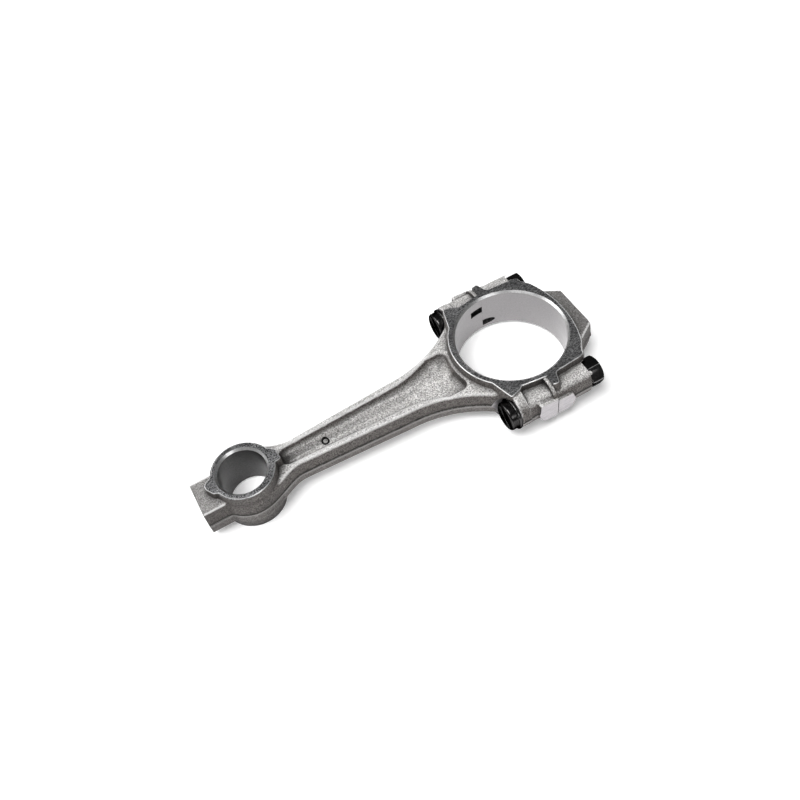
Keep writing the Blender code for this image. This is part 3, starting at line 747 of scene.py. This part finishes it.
# %% Black oxide
def make_black():
    """Near black metal, flecked by the grain, with lighter edges where Pointiness is high, partly wear and
    partly a painted highlight.
    """
    material, tree, shader = new_material("black_oxide", Metallic=1.0, Specular_Tint=(0.08, 0.08, 0.08, 1))
    grain = place_group(tree, GRAIN, place_in_mm(tree), Size=0.5)
    body = mix_colour(tree, grain.outputs["Fleck"], (0.022, 0.021, 0.021), (0.06, 0.058, 0.058))
    # Partly wear, partly painted highlight: sharp edges, found by Pointiness, are painted grey.
    edge = ramp(tree, node(tree, "ShaderNodeNewGeometry").outputs["Pointiness"], [(0.53, 0.0), (0.6, 0.5)])
    tree.links.new(mix_colour(tree, edge, body, (0.4, 0.4, 0.4)), shader.inputs["Base Color"])
    rough = ramp(tree, grain.outputs["Cloud"], [(0.0, 0.14), (1.0, 0.26)])
    tree.links.new(rough, shader.inputs["Roughness"])
    bump(tree, shader, grain.outputs["Height"], 0.12, 0.00015)
    return material


BLACK = make_black()
# Partly wear, partly painted highlight: the grey that the nuts' corner strips take.
RUBBED_AND_HIGHLIT = make_machined("rubbed_and_highlit_oxide", (0.25, 0.25, 0.25), (0.6, 0.6, 0.6), (0.35, 0.5), 0.5, 0.1)
print("finishes", [m.name for m in bpy.data.materials])

# %% [markdown]
# ## Forge and machine the rod
#
# The blank is forged about a millimetre too tall. A flat cut takes it to just under each
# ground face and a thin plate with a bevelled edge puts the face back, because the real edge
# is rubbed to a bright line; the bevel's near white finish is also a painted highlight. Then
# come the bores, the joint, the bolt holes and the flats.

# %% The rod's forging
rod = forge("rod_forging", rod_forging, (-186, -50, -16.1), (4, 50, 16.1), FORGED)


# %% Cuts shared by the rod and the cap
def cut_bore(target, x, radius, face, bevel, finish_of_wall):
    """A bore along z, then a turned bevel at each face. The wide bore needs more sides."""
    count = 192 if radius == CRANK_RADIUS else 144
    cut(target, "bore", upright(x, 0, [(radius, -face - 5), (radius, face + 5)], count), finish_of_wall)
    cone = [(radius - 2.0, face - bevel - 2.0), (radius + bevel + 1.5, face + 1.5)]
    cut(target, "bevel", upright(x, 0, cone, count), TURNED)
    cut(target, "bevel", flipped(upright(x, 0, cone, count)), TURNED)


def give_edge(target, level, side):
    """The bevel round a ground face, told by its height and its lean, takes the rubbed finish, which is also
    a painted highlight.
    """
    mesh = target.data
    if RUBBED_EDGE_HIGHLIGHT.name not in mesh.materials:
        mesh.materials.append(RUBBED_EDGE_HIGHLIGHT)
    centre, normal = np.empty(len(mesh.polygons) * 3), np.empty(len(mesh.polygons) * 3)
    mesh.polygons.foreach_get("center", centre)
    mesh.polygons.foreach_get("normal", normal)
    height = centre.reshape(-1, 3)[:, 2] / MM - CRANK[2]
    lean = side * normal.reshape(-1, 3)[:, 2]
    bevel = (side * height > level - FACE_EDGE - 0.02) & (lean > 0.5) & (lean < 0.9)
    slots = np.empty(len(mesh.polygons), np.int32)
    mesh.polygons.foreach_get("material_index", slots)
    slots[bevel] = mesh.materials.find(RUBBED_EDGE_HIGHLIGHT.name)
    mesh.polygons.foreach_set("material_index", slots)


def grind_faces(target, outline, level, block, finish_of_face):
    """Cut both sides flat under the faces and weld the bevelled plates on."""
    x0, x1, reach = block
    for side in (1, -1):
        slab = box(x0, x1, -reach, reach, level - FACE_EDGE, level + 6)
        plate = land(outline, level, FACE_EDGE)
        slab, plate = (slab, plate) if side == 1 else (flipped(slab), flipped(plate))
        cut(target, "grind", slab, finish_of_face)
        add(target, "face", plate, finish_of_face)
        give_edge(target, level, side)


HOLE_RADIUS = 5.06


def cut_bolt_holes(target, seat_radius, seat_x, away):
    """A hole and a round seat on each bolt line."""
    for y in (-BOLT_Y, BOLT_Y):
        cut(target, "hole", along_x(y, [(HOLE_RADIUS, -60), (HOLE_RADIUS, 60)]), MILLED)
        cut(target, "seat", along_x(y, [(seat_radius, x) for x in sorted([seat_x, away])]), MILLED)


def cut_side_flats(target, x0, x1):
    """A milled flat on each side pad, and its broken edge at the joint."""
    for side in (-1, 1):
        y0, y1 = sorted([side * FLAT_Y, side * 60])
        cut(target, "side_flat", box(x0, x1, y0, y1, -12, 12), MILLED)
        cut(target, "deburr", groove(side), JOINT_PAINTED_SHADE)


# %% The rib over the joint and the die mark
def rib(side, up):
    """A thin arch beside the joint: a quarter of an oval round the boss, carried along x."""
    sweep = np.radians(np.linspace(0, 90, 24))
    top = np.column_stack([33.0 + 11.0 * np.cos(sweep), 3.0 + 8.9 * np.sin(sweep)])
    low = np.array([(31.0, 11.9), (31.0, 3.0)])
    section = np.vstack([top, low]) * (side, up)
    rings = [np.column_stack([np.full(len(section), x), section]) for x in (-1.9, 1.0)]
    return stack(rings if side * up > 0 else rings[::-1])


def die_mark(x, y, inner, outer):
    """A ring pressed into the web: a rectangle between two radii, carried round a circle."""
    around = full_turn(48)[:, None]
    reach = np.array([[inner, inner, outer, outer]])
    low, high = WEB_HALF - 0.35, WEB_HALF + 3
    height = np.array([[low, high, high, low]])
    grid = [x + reach * np.cos(around), y + reach * np.sin(around), height]
    return np.stack(np.broadcast_arrays(*grid), axis=-1).reshape(-1, 3), grid_faces(48, 4, wrap_rows=True)


for side in (1, -1):
    for up in (1, -1):
        add(rod, "rib", rib(side, up), FORGED)
cut(rod, "die_mark", die_mark(-111.6, 0.2, 1.1, 2.2), RECESS_PAINTED_SHADE)

# %% Machine the rod
grind_faces(rod, ROD_FACE, BIG_FACE, (-60, 10, 60), GROUND)
grind_faces(rod, SMALL_FACE_OUTLINE, SMALL_FACE, (-186, -130, 40), DARK_GROUND)
cut_bore(rod, 0, CRANK_RADIUS, BIG_FACE, 1.1, HONED)
cut_bore(rod, PIN_X, PIN_RADIUS, SMALL_FACE, 1.15, PIN_BORE_PAINTED_SHADE)
cut(rod, "joint", box(-HALF_GAP, 20, -60, 60, -30, 30), JOINT_PAINTED_SHADE)
cut_bolt_holes(rod, 9.56, SEAT_HEAD, -40)
cut_side_flats(rod, -14, 6)
cut(rod, "tail_flat", box(TAIL_X - 8, TAIL_X, -30, 30, -20, 20), MILLED)
cut(rod, "notch", box(-7.6, 5, 24, CRANK_RADIUS + 1.3, 1.6, 6.0), RECESS_PAINTED_SHADE)
print("rod", len(rod.data.polygons), "faces", [m.name for m in rod.data.materials])


# %% [markdown]
# ## The cap
#
# The cap is forged and machined the same way. Its skin has the face's body with the crown,
# two bosses for the nuts, the side pads and the wide weight pad, which is ground away until
# the rod balances.

# %% The cap's forging
CAP_PAD = mirrored([(20, 27), (28.5, 24.5), (30.5, 21.8), (CAP_PAD_REACH + 2, 13.9)])


def cap_forging(x, y, signed_z):
    """Distance to the cap's forged skin."""
    y, z = np.abs(y), np.abs(signed_z)
    body = meet(leaning(outline_distance(x, y, CAP_FACE), z, BIG_FACE), z - BIG_BLANK, 0.2)
    boss = meet(bolt_boss(y, z), x - 23, 0.2)
    pad_plan = outline_distance(x, y, CAP_PAD)
    pad = meet(leaning(pad_plan, z, 0), z - 8.3, 0.9)
    whole = join(join(body, pad, 1.3), boss, 0.7)
    whole = join(whole, side_pad(outline_distance(x, signed_z, PAD_OUTLINE_CAP), y), 0.5)
    return np.maximum(whole - flash(signed_z), -2 - x)


cap = forge("cap_forging", cap_forging, (-4, -50, -16.1), (47, 50, 16.1), FORGED)
grind_faces(cap, CAP_FACE, BIG_FACE, (-10, 60, 60), GROUND)
cut_bore(cap, 0, CRANK_RADIUS, BIG_FACE, 1.1, HONED)
cut(cap, "joint", box(-20, HALF_GAP, -60, 60, -30, 30), JOINT_PAINTED_SHADE)
cut_bolt_holes(cap, 8.95, SEAT_NUT, 60)
cut_side_flats(cap, -6, 14)
cut(cap, "pad_flat", box(CAP_PAD_REACH, 60, -40, 40, -20, 20), MILLED)
cut(cap, "notch", oval_tool(0, 28.9, -7.6, (7.6, 2.0, 2.3)), RECESS_PAINTED_SHADE)
print("cap", len(cap.data.polygons), "faces")

# %% [markdown]
# ## Bolts and nuts
#
# A rod bolt is turned: a round head with one flat that stops it turning, a thin flange under
# it, a plain shank and a rolled thread. The thread is a real helix: on the grid of angle and
# length the radius falls and rises with x over the pitch, shifted by the angle.

# %% The bolts
BOLT_RADIUS = 4.76
PITCH = 1.058
BOLT_TIP = 30.4
HEAD_END = -26.9
HEAD_FOOT = -22.9
HEAD_RADIUS = 7.86
HEAD_FLAT = HEAD_RADIUS - 1.5
THREAD_START = 11.0


def thread_wave(steps, turn):
    """A saw of teeth on a helix: |2 ((x / pitch - turn) mod 1) - 1|, 0 at a crest's middle."""
    return np.abs(((steps[:, None] / PITCH - turn[None, :] / (2 * math.pi)) % 1) * 2 - 1)


def make_bolt(name, y, side):
    """Rings of the head's profile, then the shank with r = R - depth * wave, then the tip. The
    flat is where the head's rings are cut off at a fixed distance towards the crank bore."""
    turn = full_turn(72)
    head = [(0.01, HEAD_END), (6.4, HEAD_END), (6.6, HEAD_END + 0.02), (7.2, HEAD_END + 0.2),
            (7.6, HEAD_END + 0.5), (7.82, HEAD_END + 1.0), (HEAD_RADIUS, HEAD_END + 1.6),
            (HEAD_RADIUS, -23.1), (8.1, -22.85), (8.5, -22.8), (8.76, -22.65), (8.86, -22.4),
            (8.86, -21.65), (8.72, -21.42), (8.5, -21.3), (5.2, -21.3), (BOLT_RADIUS, -20.9)]
    steps = np.arange(THREAD_START, BOLT_TIP - 0.7, PITCH / 8)
    fade = np.clip((steps - THREAD_START) / 1.5, 0, 1)[:, None]
    thread = zip(BOLT_RADIUS - 0.02 - 0.5 * fade * thread_wave(steps, turn), steps)
    tip = [(4.05, BOLT_TIP - 0.35), (3.7, BOLT_TIP), (0.01, BOLT_TIP)]
    rings = np.array(rings_along_x(0, turn, [*head, *thread, *tip]))
    head_rows = rings[:, 0, 0] < HEAD_FOOT
    across = rings[head_rows, :, 1]
    rings[head_rows, :, 1] = np.where(side * across < -HEAD_FLAT, -side * HEAD_FLAT, across)
    rings[:, :, 1] += y
    return make_piece(name, *stack(rings), BLACK)


bolts = {"left": make_bolt("bolt_black_left", BOLT_Y, 1),
         "right": make_bolt("bolt_black_right", -BOLT_Y, -1)}

# %% [markdown]
# ### The nuts
#
# A nut is a length of hexagon bar whose corners are turned off to a cone at both ends, with a
# threaded bore. A boolean of a prism and a cone would do, but here each point's radius is just
# the smaller of the two, so one grid runs up the outside and back down the thread.

# %% The nuts
NUT_NEAR, NUT_FAR = 21.5, 29.7
ACROSS = 14.29
NUT_MOUTH = 5.5


def make_nut(name, y, turned):
    """A hexagon of radius (A / 2) / cos(angle within its side), never more than the cone that
    chamfers its corners, carried along x outside and back through a threaded bore. The narrow
    strips at its six corners are rubbed, and their lighter finish is also a painted highlight."""
    share = np.concatenate([[0, 0.018], np.linspace(0.05, 0.95, 21), [0.982]])
    count = 6 * len(share)
    turn = (np.arange(6)[:, None] + share[None, :]).ravel() * math.pi / 3
    within = turn % (math.pi / 3) - math.pi / 6
    hexagon = ACROSS / 2 / np.cos(np.clip(within, -math.radians(29), math.radians(29)))
    turn = turn + math.radians(turned)
    cone = [(6.9, NUT_NEAR), (7.15, NUT_NEAR + 0.35), (8.3, NUT_NEAR + 0.9), (8.3, NUT_FAR - 1.5),
            (8.0, NUT_FAR - 1.1), (7.45, NUT_FAR - 0.6), (6.8, NUT_FAR - 0.2), (6.3, NUT_FAR)]
    outside = [(np.minimum(hexagon, limit), x) for limit, x in cone]
    steps = np.arange(NUT_FAR - 0.7, NUT_NEAR + 0.7, -PITCH / 8)
    thread = zip(4.86 + 0.45 * thread_wave(steps, turn), steps)
    rings = rings_along_x(y, turn, [*outside, (NUT_MOUTH, NUT_FAR), *thread, (NUT_MOUTH, NUT_NEAR)])
    faces = grid_faces(len(rings), count, wrap_rows=True)
    nut = make_piece(name, np.vstack(rings), faces, BLACK)
    nut.data.materials.append(RUBBED_AND_HIGHLIT)
    face = np.arange(len(faces))
    strip = face % count % len(share)
    # Partly wear, partly painted highlight: the corner strips get the lighter finish.
    rubbed = ((strip == 0) | (strip == len(share) - 1)) & (face < len(cone) * count)
    nut.data.polygons.foreach_set("material_index", rubbed.astype(np.int32))
    return nut


nuts = {"left": make_nut("nut_black_left", BOLT_Y, 7),
        "right": make_nut("nut_black_right", -BOLT_Y, 49)}

# %% [markdown]
# ## Handing over
#
# Each finished piece stands for one solid of the frame and moves with that solid's body.
# Shading is smooth, apart from edges whose faces turn by more than the angle given.

# %% Finish and hand over each piece
def finish(piece, name, body, cad_node, angle):
    """Smooth shading with sharp edges kept, then the CAD node it stands for and its body."""
    piece.name = name
    piece.data.shade_smooth()
    piece.data.set_sharp_from_angle(angle=math.radians(angle))
    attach(piece, body)
    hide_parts(cad_node)
    print(name, len(piece.data.polygons), "faces")


finish(rod, "rod_steel", "rod", "rod_body", 38)
finish(cap, "cap_steel", "cap", "rod_cap", 38)
for side in ("left", "right"):
    finish(bolts[side], "bolt_" + side + "_black", "rod", "bolt_" + side, 40)
    finish(nuts[side], "nut_" + side + "_black", side + "_nut", "nut_" + side, 25)

# %% [markdown]
# ## Floor, light and camera
#
# A pale floor and wide soft boxes. Flat ground steel mirrors what is behind and above it, so
# that part of the room is left dim and the faces stay dark, while the rough skin gathers
# light from everywhere and stays pale.

# %% Floor
bpy.ops.mesh.primitive_plane_add(size=8)
floor = bpy.context.object
floor.name = "floor"
paper, _, paper_shader = new_material("pale_paper", Roughness=0.9, Specular_IOR_Level=0.1,
                                      Emission_Strength=0.24)
paper_shader.inputs["Base Color"].default_value = (0.92, 0.92, 0.92, 1)
paper_shader.inputs["Emission Color"].default_value = (1, 1, 1, 1)
floor.data.materials.append(paper)

# %% Light
def soft_box(name, direction, distance, size_x, size_y, watts):
    """An area light that looks at the rod from a direction."""
    light = bpy.data.lights.new(name, "AREA")
    light.shape, light.size, light.size_y, light.energy = "RECTANGLE", size_x, size_y, watts
    lamp = bpy.data.objects.new(name, light)
    lamp.location = Vector(direction).normalized() * distance
    lamp.rotation_euler = (-lamp.location).to_track_quat("-Z", "Y").to_euler()
    bpy.context.scene.collection.objects.link(lamp)


soft_box("top_box", (-0.3, -0.1, 1.0), 3.2, 1.7, 1.7, 100)
soft_box("front_box", (0.12, -0.80, 0.50), 2.2, 0.9, 0.5, 6)
soft_box("left_box", (-0.75, 0.5, 0.75), 2.6, 1.8, 1.8, 30)
room = bpy.data.worlds.new("dim_room")
bpy.context.scene.world = room
room.use_nodes = True
room.node_tree.nodes["Background"].inputs["Color"].default_value = (1, 1, 1, 1)
room.node_tree.nodes["Background"].inputs["Strength"].default_value = 0.14
bpy.context.scene.view_settings.view_transform = "Standard"

# %% Camera
CAMERA_PLACE = np.array([PIN_X + 0.1, -252.3, 377.0])
CAMERA_VIEW = (0.192, 0.551, -0.812)
CAMERA_ROLL = -11.57
view_camera = bpy.data.cameras.new("camera")
view_camera.sensor_width, view_camera.lens, view_camera.clip_start = 36, 39.8, 0.02
camera = bpy.data.objects.new("camera", view_camera)
camera.location = (CAMERA_PLACE + CRANK) * MM
aim = Vector(CAMERA_VIEW).to_track_quat("-Z", "Y")
camera.rotation_euler = (aim @ Quaternion((0, 0, 1), math.radians(CAMERA_ROLL))).to_euler()
bpy.context.scene.collection.objects.link(camera)
bpy.context.scene.camera = camera
